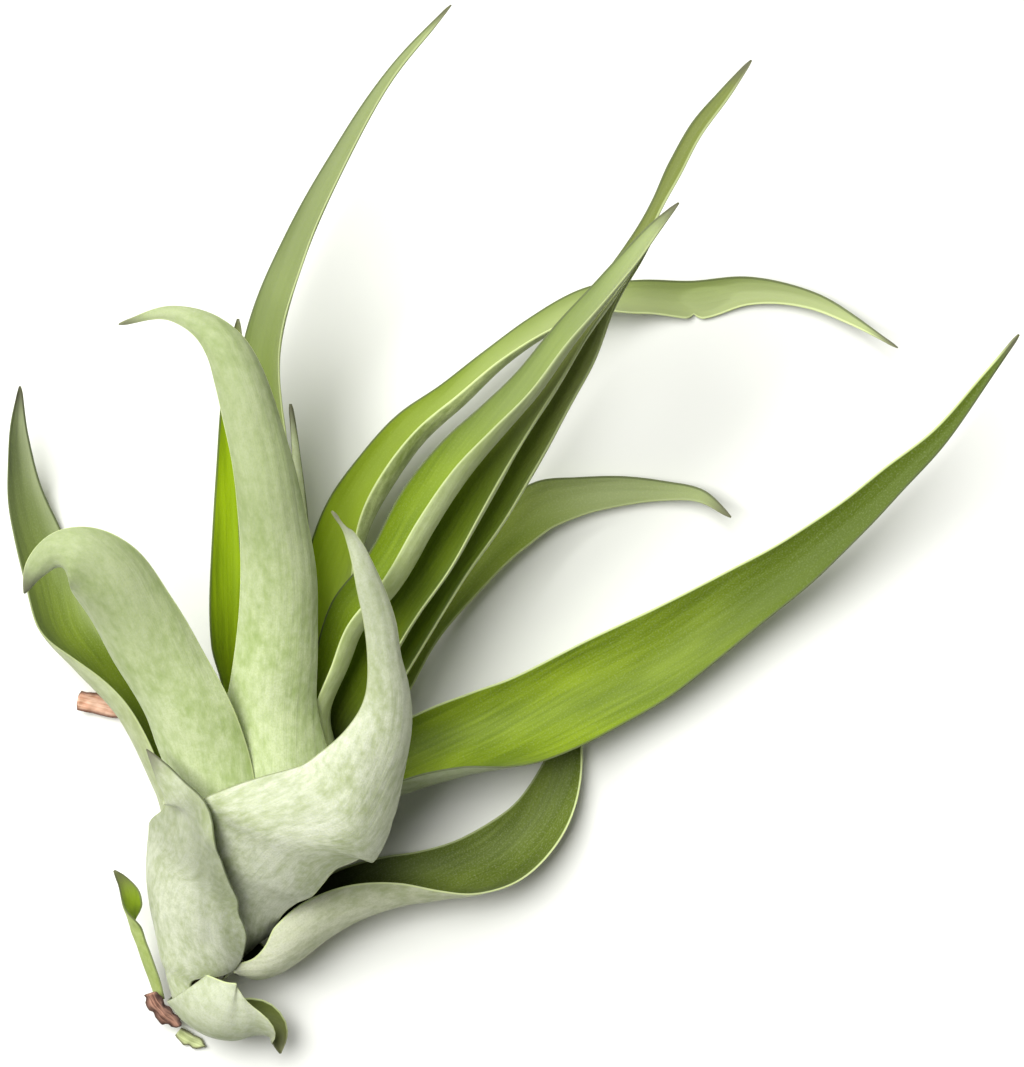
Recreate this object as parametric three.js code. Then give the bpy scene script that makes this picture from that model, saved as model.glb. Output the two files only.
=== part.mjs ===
// An air plant with no pot and no roots, as picked. It lies on its side on a flat surface and is seen from above.
//
// Millimetres, +Z up. The plant lies on Z = 0. +Y runs from the foot of the stem towards the leaf tips, and
// +X to the right. The origin is the small flat spot on the underside of the leaf sheaths, where the plant rests.
//
// The bases of the leaves are sheaths, cones nested round one short stem, the oldest and lowest leaf outside.
// Past its sheath each leaf goes on as a channelled blade of its own.

import * as THREE from "three";

// ---- Driving dimensions ----

const LEAF_THICKNESS = 0.7;
const STEM_RADIUS = 3.4;
const STEM_TIP_RADIUS = 1.6;
const STEM_LENGTH = 48;
const TORN_DEPTH = 1.6; // of the notches in the foot of the stem
const TORN_TURN = 2.1; // radians from one side of the stem to the next in the wave that sets how deep it is torn
const ROOT_RADIUS = 4.1; // from the stem's axis to the middle of a leaf where it starts
const OUTER_SLOPE = 0.62; // how fast the outermost sheath widens, per millimetre of stem
const SLOPE_STEP = 0.024; // each sheath inside it widens less by this
const SHEATH_STEP = 1.05; // from one sheath to the next, across the stem

const SEGMENT_LENGTH = 4.8; // of a leaf's facets, along it
const LEAST_SEGMENTS = 9;
const SEGMENTS_ACROSS = 8;
const SCRAP_SEGMENTS_ACROSS = 4;
const STEM_RING_STEP = 4;
const STEM_SIDES = 12;
const TRAVEL_PROBE = 0.5; // how far each way a blade's direction of travel is measured

const GREEN = 0x8fae3a; // the inner face of a leaf
const PALE_GREEN = 0xc3cfa6; // its outer face, under a bloom of pale scales
const STEM_BROWN = 0x8d8a5c;
const DRY_TAN = 0xd8a988;
const DRY_BROWN = 0x6b3f26;
const DRY_GREEN = 0xb9c48e;
const LEAF_ROUGHNESS = 0.6;
const STEM_ROUGHNESS = 0.8;
const DRY_ROUGHNESS = 0.85;

// The stem's centre line, from the foot to past the youngest leaf.
const STEM_LINE = [
  [-5.1, -33.6, 8.5],
  [-4.5, -24.1, 9.3],
  [-0.4, -12.7, 11],
  [4.6, -3.1, 14],
  [10, 6.5, 18.5],
  [15.2, 16.9, 23.5],
];

// ---- The leaves, from the lowest and outermost to the youngest ----
//
// rank: its place in the spiral, 0 lowest. It sets where the leaf starts on the stem and its sheath's cone.
// sheath: rows of [height on the stem, first margin, last margin, how far it stands off its cone]. A margin is an
//   angle round the stem in degrees: 0 on top, 90 on the right, 180 on the surface, -90 on the left.
// blade: rows of [x, y, z, width round the curve, where its back faces, curl]. The back's angle is counted as
//   round the stem, and the curl is half the angle that the channel bends through.

const LEAVES = [
  {
    name: "leaf_01_foot_right",
    rank: 0,
    sheath: [],
    blade: [
      [-10.2, -31.2, 12.8, 19.5, 60, 75],
      [-7, -35.4, 12.6, 26, 68, 88],
      [-2.4, -38.2, 12.2, 28.2, 74, 97],
      [1.8, -38.8, 11, 26.4, 83, 98],
      [5.2, -37.8, 10, 18, 103, 92],
      [7.8, -37.4, 9, 10.6, 128, 78],
      [9.5, -38.9, 8.4, 5, 155, 60],
      [10.1, -41.8, 8.2, 0.8, 180, 50],
    ],
  },
  {
    name: "leaf_02_foot_left",
    rank: 1,
    sheath: [],
    blade: [
      [-13.2, -31.6, 5, 3.6, -60, 35],
      [-14.1, -28.4, 6, 4, -57, 35],
      [-15.2, -25.1, 7.1, 4, -55, 35],
      [-16.4, -21.5, 8.2, 4, -58, 38],
      [-17.7, -18.2, 9.4, 5, -70, 60],
      [-18.3, -15.9, 10.2, 6, -100, 75],
      [-18.4, -13.6, 11, 5.6, -130, 65],
      [-18.5, -11.2, 11.9, 4.4, -150, 50],
      [-19.4, -9.1, 12.6, 2.6, -155, 42],
      [-20.9, -6.9, 13.6, 0.8, -155, 30],
    ],
  },
  {
    name: "leaf_03_left_sheath",
    rank: 2,
    sheath: [
      [1.9, -140, -10, 1.6],
      [6.6, -150, -8, 0.4],
      [8.3, -150, 40, 0.5],
      [10, -150, 48, 0.5],
      [12.5, -145, 46, 0.6],
      [16.5, -135, 35, 1.1],
      [20, -122, 28, 1.2],
      [23.5, -106, 21, 0.9],
      [27, -90, 13, 0.5],
      [31, -69, 8, 0.3],
      [36, -53, 0, 0.2],
      [41, -43, -7],
      [46, -40, -14],
    ],
    blade: [
      [-7.4, 7.9, 44, 7.5, -32, 25],
      [-10.4, 12.4, 43, 4.5, -38, 20],
      [-13.3, 16.7, 40.5, 0.8, -45, 15],
    ],
  },
  {
    name: "leaf_04_right_low",
    rank: 3,
    sheath: [
      [6.5, 62, 185],
      [11, 62, 180],
    ],
    blade: [
      [6.1, -27.4, 9.5, 16, 98, 70],
      [10.1, -26.1, 10, 22, 97, 82],
      [14.1, -23.6, 10, 28, 95, 89],
      [18.6, -20.1, 9.8, 29, 95, 90],
      [24.6, -16.3, 9.5, 27, 99, 88],
      [32.6, -13.1, 8, 22, 110, 82],
      [38.6, -11.6, 7, 19, 122, 72],
      [44.6, -9.6, 5.6, 17, 138, 60],
      [51.6, -6.1, 4, 16, 150, 50],
      [59.1, 1.4, 3, 13, 160, 45],
      [63.1, 10.4, 3, 9, 170, 40],
      [64.6, 18.9, 3.5, 5, 175, 35],
      [64.6, 26.9, 4, 0.8, 180, 30],
    ],
  },
  {
    name: "leaf_05_front_right",
    rank: 4,
    sheath: [
      [8.5, -90, 100],
      [16, -80, 98],
      [20, -72, 80],
      [24, -65, 63, -0.6],
      [28.5, -55, 51, -0.8],
      [33.5, -45, 46, -0.4],
      [38.5, -38, 45],
      [43, -32, 41],
      [47, -28, 38],
      [51, -26, 42],
    ],
    blade: [
      [23.6, 4.6, 46.5, 26, 20, 49],
      [28.6, 12.7, 46.4, 21, 30, 58],
      [31.1, 19.4, 47.6, 15.5, 28, 60],
      [31.9, 28.1, 49.4, 9.8, 22, 58],
      [31, 33.4, 51, 7.4, 15, 55],
      [30, 39.4, 53, 6.8, 10, 50],
      [28.4, 46.1, 55, 5.6, 10, 48],
      [26.9, 50.6, 56, 4.2, 10, 45],
      [25.2, 54.6, 56.4, 2.8, 10, 40],
      [23.6, 57.4, 56.4, 1.5, 10, 35],
      [21.1, 60.4, 56, 0.8, 10, 30],
    ],
  },
  {
    name: "leaf_06_far_left",
    rank: 5,
    sheath: [
      [10.5, -200, -80],
      [16, -198, -86],
      [21, -195, -90, 1],
    ],
    blade: [
      [-8.5, 3, 2.5, 25, -139, 52],
      [-13.4, 10.9, 7.5, 24, -118, 66],
      [-19.3, 21.8, 9.5, 22.5, -110, 67],
      [-26.5, 31, 7, 20, -122, 60],
      [-31.6, 37.6, 4, 16, -138, 54],
      [-34.3, 47, 0.8, 13, -152, 50],
      [-37.2, 57.2, 2, 10.2, -160, 45],
      [-39, 66.6, 6, 6.8, -160, 45],
      [-39.3, 74.9, 11, 4.2, -155, 45],
      [-38.4, 83.9, 17, 0.8, -155, 40],
    ],
  },
  {
    name: "leaf_07_curled_left",
    rank: 6,
    sheath: [
      [12.5, -110, 60],
      [22, -100, 45],
      [30, -90, 28],
      [37, -82, 12, 1],
    ],
    blade: [
      [-7.2, 18.4, 39.9, 24, -35, 61],
      [-12.3, 30.9, 46, 22, -28, 62],
      [-16.4, 39.9, 50, 20, -22, 62],
      [-21.1, 48.5, 54.3, 17.5, -15, 62],
      [-26, 52.4, 55.6, 12.6, -10, 58],
      [-30, 52.5, 53, 7.6, -10, 55],
      [-33.2, 49.4, 49.5, 4.6, -10, 50],
      [-35.4, 45.4, 45, 0.8, -10, 40],
    ],
  },
  {
    name: "leaf_08_long_right",
    rank: 7,
    sheath: [
      [15, 20, 195],
      [24, 30, 180],
      [32, 50, 165],
      [39, 56, 160],
    ],
    blade: [
      [26.6, 4.9, 11.6, 21, 115, 70],
      [35.1, 9.9, 11, 24, 125, 79],
      [42.6, 13.1, 10.2, 24.5, 135, 82],
      [50.6, 16.7, 9.3, 23, 150, 68],
      [58.6, 21.2, 8.5, 19.5, 168, 46],
      [67.6, 26.4, 8, 18.6, 178, 36],
      [78.1, 31.9, 8, 17.6, 180, 32],
      [97.6, 44.4, 10, 12.5, 180, 32],
      [108.6, 51.9, 12, 10, 180, 32],
      [117.6, 59.4, 14, 7.7, 180, 32],
      [125.6, 66.9, 16.5, 5.8, 180, 32],
      [133.6, 74.4, 19, 3.8, 180, 32],
      [142.1, 85.4, 23, 2, 180, 32],
      [148.1, 93.4, 25, 0.8, 180, 30],
    ],
  },
  {
    name: "leaf_09_back_left",
    rank: 8,
    sheath: [
      [17, -205, -75],
      [28, -195, -80],
      [38, -185, -85],
      [46, -178, -90],
    ],
    blade: [
      [3.1, 22.4, 7, 13, -150, 50],
      [2.9, 36.4, 10, 15, -165, 50],
      [2.9, 53.4, 12, 12.5, -180, 45],
      [2.6, 68.4, 15, 9.5, -180, 45],
      [2.1, 83.4, 18, 5.5, -180, 45],
      [2.6, 96.4, 21, 0.8, -180, 40],
    ],
  },
  {
    name: "leaf_10_front_centre",
    rank: 9,
    sheath: [
      [19.5, -85, 80],
      [30, -75, 62],
      [40, -66, 58],
      [47, -62, 59],
    ],
    blade: [
      [9.6, 25.4, 40.3, 19.5, 2, 60],
      [10.8, 36.4, 45, 18, 2, 60],
      [11.3, 47.9, 50, 16.5, 2, 60],
      [10.3, 58.9, 54, 14.8, 2, 60],
      [8.1, 71.4, 57.5, 12.6, 2, 60],
      [4.1, 85.4, 60, 11, 2, 60],
      [1.6, 90.4, 60, 9, 2, 60],
      [-2.4, 94.4, 58, 6, 2, 55],
      [-7.9, 96.4, 55, 3.2, 2, 50],
      [-17.9, 94.4, 49, 0.8, 2, 40],
    ],
  },
  {
    name: "leaf_11_arching_right",
    rank: 10,
    sheath: [
      [22.5, 120, 245],
      [33, 125, 240],
      [42, 128, 235],
      [50, 130, 228],
    ],
    blade: [
      [16.6, 25.4, 8, 13, 175, 50],
      [19.6, 37.4, 9.5, 15, 160, 62],
      [22.6, 49.4, 11, 17, 140, 75],
      [26.6, 59.4, 12.5, 18, 125, 85],
      [31.6, 67.4, 13.5, 17, 120, 88],
      [37.1, 74.4, 14, 15, 118, 88],
      [44.1, 80.9, 13.5, 12, 118, 85],
      [51.6, 87.9, 12, 9.5, 120, 80],
      [59.1, 93.9, 9.5, 8.5, 128, 70],
      [68.6, 99.4, 6.5, 7.5, 145, 60],
      [77.6, 100.9, 3, 7.5, 170, 50],
      [89.1, 100.7, -0.2, 8, 180, 40],
      [98.6, 102.4, 0.8, 6, 185, 45],
      [111.1, 100.4, 3, 3.5, 185, 45],
      [118.6, 96.4, 5.5, 2.2, 185, 45],
      [126.6, 91.4, 8, 0.8, 185, 40],
    ],
  },
  {
    name: "leaf_12_low_right",
    rank: 11,
    sheath: [
      [25.5, 90, 190],
      [36, 90, 185],
      [46, 92, 175],
    ],
    blade: [
      [24.9, 16.4, 13, 11.5, 145, 58],
      [31.1, 26.9, 12, 10, 155, 55],
      [36.6, 37.4, 10, 9.5, 162, 50],
      [44.6, 47.9, 7.5, 10.5, 165, 45],
      [53.1, 56.7, 5.3, 10.5, 170, 42],
      [60.1, 61.7, 4, 10, 175, 40],
      [66.6, 63.4, 3, 8, 180, 40],
      [75.1, 64.4, 2.5, 6, 180, 40],
      [82.6, 64.4, 3, 4.2, 180, 40],
      [89.6, 63.4, 5, 2.6, 180, 40],
      [95.1, 59.4, 8, 0.8, 180, 40],
    ],
  },
  {
    name: "leaf_13_tall_back",
    rank: 12,
    sheath: [
      [28.5, 165, 275],
      [38, 170, 270],
      [46, 175, 262],
      [53, 182, 255],
    ],
    blade: [
      [11.1, 27.4, 13, 13, 200, 60],
      [9.1, 43.9, 17, 12.5, 185, 55],
      [8.1, 68.4, 20, 12, 165, 50],
      [8.6, 91.4, 23, 10.5, 145, 60],
      [14.6, 109.9, 25, 7.8, 142, 60],
      [22.6, 126.4, 28, 5, 142, 60],
      [32.1, 141.9, 31, 2.8, 142, 55],
      [42.6, 153.9, 34, 0.8, 142, 50],
    ],
  },
  {
    name: "leaf_14_bundle_back",
    rank: 13,
    sheath: [
      [32, 75, 190],
      [42, 78, 185, 0.3],
      [50, 80, 182, 0.8],
    ],
    blade: [
      [23.3, 15.3, 14.7, 14, 135, 58],
      [28.8, 26, 17.6, 13.7, 140, 60],
      [35.1, 36.4, 20, 14, 140, 60],
      [43.1, 49.4, 22.5, 13.5, 140, 60],
      [52.6, 62.9, 25.5, 12.5, 140, 60],
      [60.6, 76.4, 28.5, 10.5, 140, 60],
      [67.1, 87.9, 31.5, 8, 140, 60],
      [72.1, 98.9, 33.5, 5.5, 140, 55],
      [77.6, 107.9, 35, 3, 140, 50],
      [80.1, 111.4, 36, 0.8, 140, 45],
    ],
  },
  {
    name: "leaf_15_bundle_long",
    rank: 14,
    sheath: [
      [35.5, 60, 170],
      [45, 62, 168],
      [52, 65, 166, 0.4],
    ],
    blade: [
      [21.9, 18.9, 19.7, 14.3, 125, 60],
      [27.1, 28.4, 23, 14.2, 132, 60],
      [32.6, 38.9, 26.5, 14.5, 135, 60],
      [40.6, 50.9, 30, 14.5, 135, 60],
      [47.1, 61.4, 32.5, 13.5, 135, 60],
      [53.6, 72.9, 35, 12, 135, 60],
      [60.1, 82.9, 37, 10.5, 135, 60],
      [66.1, 92.4, 38.5, 9, 135, 60],
      [71.6, 99.9, 39.5, 7, 135, 60],
      [76.6, 108.4, 40, 4.8, 145, 60],
      [80.9, 117.4, 41, 2.8, 158, 55],
      [84.2, 123.9, 42, 3.5, 165, 50],
      [87.8, 130.4, 43, 3.4, 165, 50],
      [92.9, 136.9, 44, 2.4, 165, 45],
      [97.6, 142.9, 45, 0.8, 165, 40],
    ],
  },
  {
    name: "leaf_16_bundle_front",
    rank: 15,
    sheath: [
      [39.5, 30, 130],
      [48, 32, 126, -0.3],
      [54, 35, 122, -0.6],
    ],
    blade: [
      [19.9, 23.9, 28, 12.5, 97, 70],
      [23.1, 32.4, 31, 15, 113, 85],
      [26.1, 39.9, 34, 16, 118, 88],
      [32.1, 46.4, 36.5, 17.5, 118, 90],
      [39.6, 58.9, 40, 18.5, 118, 90],
      [46.1, 68.4, 42.5, 16.5, 118, 90],
      [52.1, 75.4, 44.5, 13.5, 120, 87],
      [57.6, 81.9, 46, 11.3, 122, 80],
      [65.6, 92.9, 48.5, 9, 125, 75],
      [71.6, 100.4, 50, 7, 130, 70],
      [76.1, 106.4, 51, 5, 140, 65],
      [80.1, 111.9, 52, 3, 150, 60],
      [84.1, 116.4, 53, 0.8, 160, 50],
    ],
  },
  {
    name: "leaf_17_innermost",
    rank: 16,
    sheath: [
      [43.5, -80, 10],
      [50, -75, 10],
      [56, -70, 10],
    ],
    blade: [
      [13.1, 34.4, 28, 7, -15, 50],
      [14, 51.4, 27, 5, -5, 45],
      [14.2, 62.4, 26.5, 2.8, 0, 45],
      [13.6, 71.9, 26.5, 1.8, 0, 45],
      [12.6, 80.4, 27, 0.8, 0, 40],
    ],
  },
];

// The ranks of the leaves that mostly show their pale outer faces.
const PALE_RANKS = new Set([0, 1, 2, 4, 6, 9]);

// Scraps of old dead leaves, in blade rows like those of a leaf. The first lies under the far left leaf, the
// second hangs on at the torn foot and the third lies on the surface below it.
const SCRAPS = [
  {
    name: "dry_scrap_left",
    color: DRY_TAN,
    sheath: [],
    blade: [
      [-17.5, 21.6, 1, 3.6, 180, 20],
      [-21.5, 23.2, 1.3, 4, 180, 20],
      [-25.4, 24.2, 1.8, 4.2, 176, 20],
      [-28.6, 24.9, 2.6, 4, 172, 20],
    ],
  },
  {
    name: "foot_scale_brown",
    color: DRY_BROWN,
    sheath: [],
    blade: [
      [-14.2, -30.4, 8, 4, -140, 25],
      [-12.9, -32.8, 7, 5, -138, 30],
      [-11, -35, 5.6, 5, -138, 30],
      [-9.3, -36.9, 4, 3, -140, 25],
    ],
  },
  {
    name: "foot_frayed_strip",
    color: DRY_GREEN,
    sheath: [],
    blade: [
      [-9.6, -38.2, 0.9, 2, 178, 25],
      [-7.8, -39.6, 0.8, 3, 180, 30],
      [-5.9, -40.4, 0.8, 2.4, 182, 30],
      [-4.4, -41, 0.9, 1, 182, 25],
    ],
  },
];

// ---- Frames and interpolation ----

const UP = new THREE.Vector3(0, 0, 1);
const radians = THREE.MathUtils.degToRad;
const stemCurve = new THREE.CatmullRomCurve3(
  STEM_LINE.map((p) => new THREE.Vector3(...p)),
  false,
  "centripetal",
);
const STEM_LINE_LENGTH = stemCurve.getLength();

// The directions that angles are counted from, round a line that runs along tangent.
function roundLine(tangent) {
  const top = UP.clone().addScaledVector(tangent, -UP.dot(tangent)).normalize();
  const right = new THREE.Vector3().crossVectors(tangent, top);
  return { top, right };
}

function directionAt(degrees, tangent) {
  const { top, right } = roundLine(tangent);
  return top.multiplyScalar(Math.cos(radians(degrees))).addScaledVector(right, Math.sin(radians(degrees)));
}

function stemPoint(height) {
  const along = THREE.MathUtils.clamp(height / STEM_LINE_LENGTH, 0, 1);
  const tangent = stemCurve.getTangentAt(along);
  const centre = stemCurve.getPointAt(along).addScaledVector(tangent, height - along * STEM_LINE_LENGTH);
  return { centre, tangent };
}

const sheathSlope = (rank) => OUTER_SLOPE - SLOPE_STEP * rank;

function rootHeight(rank) {
  let height = 0;
  for (let lower = 0; lower < rank; lower++) height += SHEATH_STEP / sheathSlope(lower);
  return height;
}

const sheathRadius = (rank, height) => ROOT_RADIUS + sheathSlope(rank) * (height - rootHeight(rank));

// Slopes of a smooth curve through values at places, for a cubic between each two. With limited set the curve
// never swings past the values.
function slopesOf(places, values, limited) {
  const steps = values.slice(1).map((v, i) => (v - values[i]) / (places[i + 1] - places[i]));
  return values.map((_, i) => {
    if (i === 0) return steps[0];
    if (i === values.length - 1) return steps[i - 1];
    const before = places[i] - places[i - 1];
    const after = places[i + 1] - places[i];
    const slope = (steps[i - 1] * after + steps[i] * before) / (before + after);
    if (!limited) return slope;
    if (steps[i - 1] * steps[i] <= 0) return 0;
    const most = 2 * Math.min(Math.abs(steps[i - 1]), Math.abs(steps[i]));
    return Math.sign(slope) * Math.min(Math.abs(slope), most);
  });
}

function curveThrough(places, values, limited = false) {
  const slopes = slopesOf(places, values, limited);
  return (at) => {
    let i = 0;
    while (i < places.length - 2 && at > places[i + 1]) i++;
    const span = places[i + 1] - places[i];
    const t = (at - places[i]) / span;
    const rise = values[i + 1] - values[i];
    const a = slopes[i] * span - rise;
    const b = rise - slopes[i + 1] * span;
    return values[i] + t * rise + t * (1 - t) * (a * (1 - t) + b * t);
  };
}

function vectorCurve(places, vectors) {
  const [x, y, z] = ["x", "y", "z"].map((axis) => curveThrough(places, vectors.map((v) => v[axis])));
  return (at) => new THREE.Vector3(x(at), y(at), z(at));
}

// ---- A leaf's surface ----

// Cross-sections of a leaf. Each is an arc about a point on the leaf's midrib, across the direction of travel.
function sectionsOf(leaf) {
  const sheath = leaf.sheath.map(([height, first, last, off = 0]) => {
    const { centre, tangent } = stemPoint(height);
    const radius = sheathRadius(leaf.rank, height) + off;
    const back = directionAt((first + last) / 2, tangent);
    return {
      midrib: centre.addScaledVector(back, radius),
      back,
      travel: tangent,
      half: (radius * radians(last - first)) / 2,
      bend: 1 / radius,
    };
  });
  const midribs = [...sheath.map((s) => s.midrib), ...leaf.blade.map(([x, y, z]) => new THREE.Vector3(x, y, z))];
  const places = [0];
  for (let i = 1; i < midribs.length; i++) places.push(places[i - 1] + midribs[i].distanceTo(midribs[i - 1]));
  const midrib = vectorCurve(places, midribs);
  const blade = leaf.blade.map(([, , , width, facing, curl], i) => {
    const at = places[sheath.length + i];
    const ahead = midrib(Math.min(at + TRAVEL_PROBE, places.at(-1)));
    const travel = ahead.sub(midrib(Math.max(at - TRAVEL_PROBE, 0))).normalize();
    return { back: directionAt(facing, travel), travel, half: width / 2, bend: (2 * radians(curl)) / width };
  });
  const rows = [...sheath, ...blade];
  const back = vectorCurve(places, rows.map((r) => r.back));
  const travel = vectorCurve(places, rows.map((r) => r.travel));
  const half = curveThrough(places, rows.map((r) => r.half), true);
  const turn = curveThrough(places, rows.map((r) => r.half * r.bend), true);
  const count = Math.max(LEAST_SEGMENTS, Math.round(places.at(-1) / SEGMENT_LENGTH));
  return Array.from({ length: count + 1 }, (_, i) => {
    const at = (places.at(-1) * i) / count;
    const along = travel(at).normalize();
    const outward = back(at).addScaledVector(along, -back(at).dot(along)).normalize();
    return { midrib: midrib(at), outward, along, half: half(at), turn: turn(at) };
  });
}

// The closed grid of a thin sheet: its back, its face, its two margins and its two ends. Where its back would sink
// below the surface that the plant lies on, both are pressed up until the back lies flat on it.
function sheetGeometry(rows, across) {
  const backs = [];
  const faces = [];
  for (const { midrib, outward, along: travel, half, turn } of rows) {
    const sideways = new THREE.Vector3().crossVectors(travel, outward);
    const radius = half / turn;
    for (let j = 0; j <= across; j++) {
      const angle = turn * ((2 * j) / across - 1);
      const [back, face] = [LEAF_THICKNESS / 2, -LEAF_THICKNESS / 2].map((depth) =>
        midrib
          .clone()
          .addScaledVector(outward, (radius + depth) * Math.cos(angle) - radius)
          .addScaledVector(sideways, (radius + depth) * Math.sin(angle)),
      );
      const press = Math.max(0, -back.z);
      backs.push(back.x, back.y, back.z + press);
      faces.push(face.x, face.y, face.z + press);
    }
  }
  const positions = [...backs, ...faces];
  const index = [];
  const along = rows.length - 1;
  const size = (along + 1) * (across + 1);
  const back = (i, j) => i * (across + 1) + j;
  const face = (i, j) => size + back(i, j);
  const quad = (a, b, c, d) => index.push(a, b, c, a, c, d);
  for (let i = 0; i < along; i++) {
    for (let j = 0; j < across; j++) {
      quad(back(i, j), back(i, j + 1), back(i + 1, j + 1), back(i + 1, j));
      index.push(face(i, j), face(i + 1, j + 1), face(i, j + 1));
      index.push(face(i, j), face(i + 1, j), face(i + 1, j + 1));
    }
    quad(back(i, 0), back(i + 1, 0), face(i + 1, 0), face(i, 0));
    quad(back(i, across), face(i, across), face(i + 1, across), back(i + 1, across));
  }
  for (let j = 0; j < across; j++) {
    quad(back(0, j), face(0, j), face(0, j + 1), back(0, j + 1));
    quad(back(along, j), back(along, j + 1), face(along, j + 1), face(along, j));
  }
  const geometry = new THREE.BufferGeometry();
  geometry.setAttribute("position", new THREE.Float32BufferAttribute(positions, 3));
  geometry.setIndex(index);
  return geometry;
}

// The stem is a round core under the sheaths. Its foot is torn, so its lowest ring is uneven.
function stemGeometry() {
  const positions = [];
  const index = [];
  const rings = Math.round(STEM_LENGTH / STEM_RING_STEP);
  for (let i = 0; i <= rings; i++) {
    const height = (STEM_LENGTH * i) / rings;
    const { centre, tangent } = stemPoint(height);
    const radius = STEM_RADIUS - (STEM_RADIUS - STEM_TIP_RADIUS) * Math.max(0, (2 * i) / rings - 1) ** 2;
    for (let k = 0; k < STEM_SIDES; k++) {
      const torn = i === 0 ? TORN_DEPTH * Math.abs(Math.sin(TORN_TURN * k)) : 0;
      const point = centre
        .clone()
        .addScaledVector(directionAt((360 * k) / STEM_SIDES, tangent), radius)
        .addScaledVector(tangent, torn);
      positions.push(point.x, point.y, point.z);
    }
  }
  const at = (i, k) => i * STEM_SIDES + (k % STEM_SIDES);
  for (let k = 0; k < STEM_SIDES; k++) {
    for (let i = 0; i < rings; i++) {
      index.push(at(i, k), at(i, k + 1), at(i + 1, k + 1), at(i, k), at(i + 1, k + 1), at(i + 1, k));
    }
  }
  for (const [height, ring] of [[0.5 * TORN_DEPTH, 0], [STEM_LENGTH, rings]]) {
    const { centre } = stemPoint(height);
    positions.push(centre.x, centre.y, centre.z);
    const middle = positions.length / 3 - 1;
    for (let k = 0; k < STEM_SIDES; k++) {
      if (ring === 0) index.push(middle, at(ring, k + 1), at(ring, k));
      else index.push(middle, at(ring, k), at(ring, k + 1));
    }
  }
  const geometry = new THREE.BufferGeometry();
  geometry.setAttribute("position", new THREE.Float32BufferAttribute(positions, 3));
  geometry.setIndex(index);
  return geometry;
}

const group = new THREE.Group();

function add(name, geometry, color, roughness) {
  geometry.computeVertexNormals();
  const mesh = new THREE.Mesh(geometry, new THREE.MeshStandardMaterial({ color, roughness, metalness: 0 }));
  mesh.name = name;
  group.add(mesh);
}

add("stem", stemGeometry(), STEM_BROWN, STEM_ROUGHNESS);
for (const leaf of LEAVES) {
  const color = PALE_RANKS.has(leaf.rank) ? PALE_GREEN : GREEN;
  add(leaf.name, sheetGeometry(sectionsOf(leaf), SEGMENTS_ACROSS), color, LEAF_ROUGHNESS);
}
for (const scrap of SCRAPS) {
  add(scrap.name, sheetGeometry(sectionsOf(scrap), SCRAP_SEGMENTS_ACROSS), scrap.color, DRY_ROUGHNESS);
}

export default group;
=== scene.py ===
"""An air plant with no pot and no roots, as picked, lying on a pale floor and seen from straight above.

Lengths in the tables are millimetres in the frame of the CAD model: +Z up, +Y from the foot towards the
leaf tips. Meshes are made in metres. Each leaf is a closed sheet on the same sheath cones and midrib as its
CAD node, with fine margins, waves and ribs, and replaces that node.
"""

import math

import bpy
import numpy as np
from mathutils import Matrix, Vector


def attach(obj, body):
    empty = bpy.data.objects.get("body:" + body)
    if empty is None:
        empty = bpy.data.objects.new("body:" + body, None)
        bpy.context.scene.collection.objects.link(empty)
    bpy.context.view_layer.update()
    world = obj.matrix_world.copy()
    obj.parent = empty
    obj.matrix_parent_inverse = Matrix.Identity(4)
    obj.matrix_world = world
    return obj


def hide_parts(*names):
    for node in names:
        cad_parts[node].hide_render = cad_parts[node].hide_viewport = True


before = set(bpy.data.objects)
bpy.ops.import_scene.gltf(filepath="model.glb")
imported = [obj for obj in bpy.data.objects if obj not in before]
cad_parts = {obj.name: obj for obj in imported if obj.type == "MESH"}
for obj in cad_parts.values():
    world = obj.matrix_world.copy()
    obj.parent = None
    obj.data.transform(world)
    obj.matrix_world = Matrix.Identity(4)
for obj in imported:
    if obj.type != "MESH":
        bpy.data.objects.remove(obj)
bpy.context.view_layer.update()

MM = 0.001

# ---- Driving dimensions, millimetres ----

LEAF_THICKNESS = 0.7
MARGIN_THICKNESS = 0.36  # where the leaf starts to round off
MARGIN_ROUNDING = 0.3  # how far in from the margin it is round
TIP_TAPER = 7.0  # length over which a leaf thins to its tip
TIP_SHARE = 0.25  # of its thickness that is left there
TIP_ROUNDING = 1.5  # length over which its outline closes
MARGIN_WAVE = 0.1
SWELL_HEIGHT = 0.09
RIB_HEIGHT = 0.03
RIB_SPACING = 2.1
SCRAP_CRUMPLE = 0.16

ROOT_RADIUS = 4.1  # of a sheath where it leaves the stem
OUTER_SLOPE = 0.62  # how fast the lowest sheath's cone widens along the stem
SLOPE_STEP = 0.024  # and how much less each next one does
SHEATH_STEP = 1.05  # from one sheath outwards to the next

STEM_RADIUS = 3.4
STEM_TIP_RADIUS = 1.6
STEM_LENGTH = 48
STEM_RIBS = 9
STEM_RIB_DEPTH = 0.12
STEM_ROUGHNESS = 0.05
LONGEST_FIBRE = 1.7  # at the torn foot
TORN_LENGTH = 3  # how far up the foot is torn
FOOT_HOLLOW = 1.2  # how far up the middle of the foot lies

ROW_STEP = 0.8  # of the fine mesh along a leaf
COLUMN_STEP = 0.62  # and across its broadest place
LEAST_ROWS = 12
LEAST_COLUMNS = 12
SCRAP_ROW_STEP = 0.35
GRAIN_UNIT = 10  # one unit of the map that the materials' grain follows

# Each piece draws from seeds of its own.
SEED_STEP = 10
FIRST_SCRAP_SEED = 300
STEM_SEED = 5

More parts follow.
